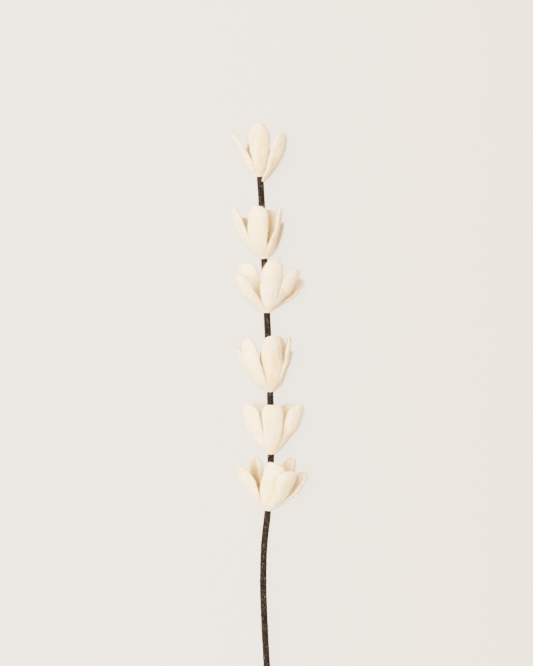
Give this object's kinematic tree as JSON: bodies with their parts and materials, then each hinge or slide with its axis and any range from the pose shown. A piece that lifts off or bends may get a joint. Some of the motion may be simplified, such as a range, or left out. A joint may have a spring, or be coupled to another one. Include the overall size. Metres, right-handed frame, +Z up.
{
  "type": "handmade wool-felt broom-flower spray on a yarn-wound stem",
  "caption": "Cream felt blossoms threaded one behind another on a stiff, slightly curved stem wound with dark-brown yarn; a cut spray that lies on its side.",
  "frame": {"origin": "middle of the spray's footprint, on the surface that it lies on", "axes": "+Y from the cut end of the stem towards the last blossom; +Z up from the surface; +X to the right when the spray is seen from above with the blossoms opening away from the viewer"},
  "size_m": [0.0565, 0.5493, 0.0403],
  "materials": {
    "felt": "soft matt wool felt",
    "yarn": "matt fine wool yarn, closely wound",
    "steel": "drawn wire"
  },
  "bodies": {
    "root": {"stem_wire": "steel", "stem_wrap": "yarn", "blossom_1_petal_front": "felt", "blossom_1_petal_right": "felt", "blossom_1_petal_back_right": "felt", "blossom_1_petal_back_left": "felt", "blossom_1_petal_left": "felt", "blossom_2_petal_front": "felt", "blossom_2_petal_right": "felt", "blossom_2_petal_low_right": "felt", "blossom_2_petal_back": "felt", "blossom_2_petal_back_left": "felt", "blossom_2_petal_left": "felt", "blossom_3_petal_front": "felt", "blossom_3_petal_right": "felt", "blossom_3_petal_low_right": "felt", "blossom_3_petal_back": "felt", "blossom_3_petal_high_left": "felt", "blossom_3_petal_left": "felt", "blossom_4_petal_left": "felt", "blossom_4_petal_front": "felt", "blossom_4_petal_right": "felt", "blossom_4_petal_low_right": "felt", "blossom_4_petal_back": "felt", "blossom_4_petal_far_left": "felt", "blossom_5_petal_front": "felt", "blossom_5_petal_right": "felt", "blossom_5_petal_back_right": "felt", "blossom_5_petal_back_left": "felt", "blossom_5_petal_left": "felt", "blossom_6_petal_front": "felt", "blossom_6_petal_front_right": "felt", "blossom_6_petal_right": "felt", "blossom_6_petal_back_right": "felt", "blossom_6_petal_back_left": "felt", "blossom_6_petal_left": "felt"}
  },
  "joints": []
}
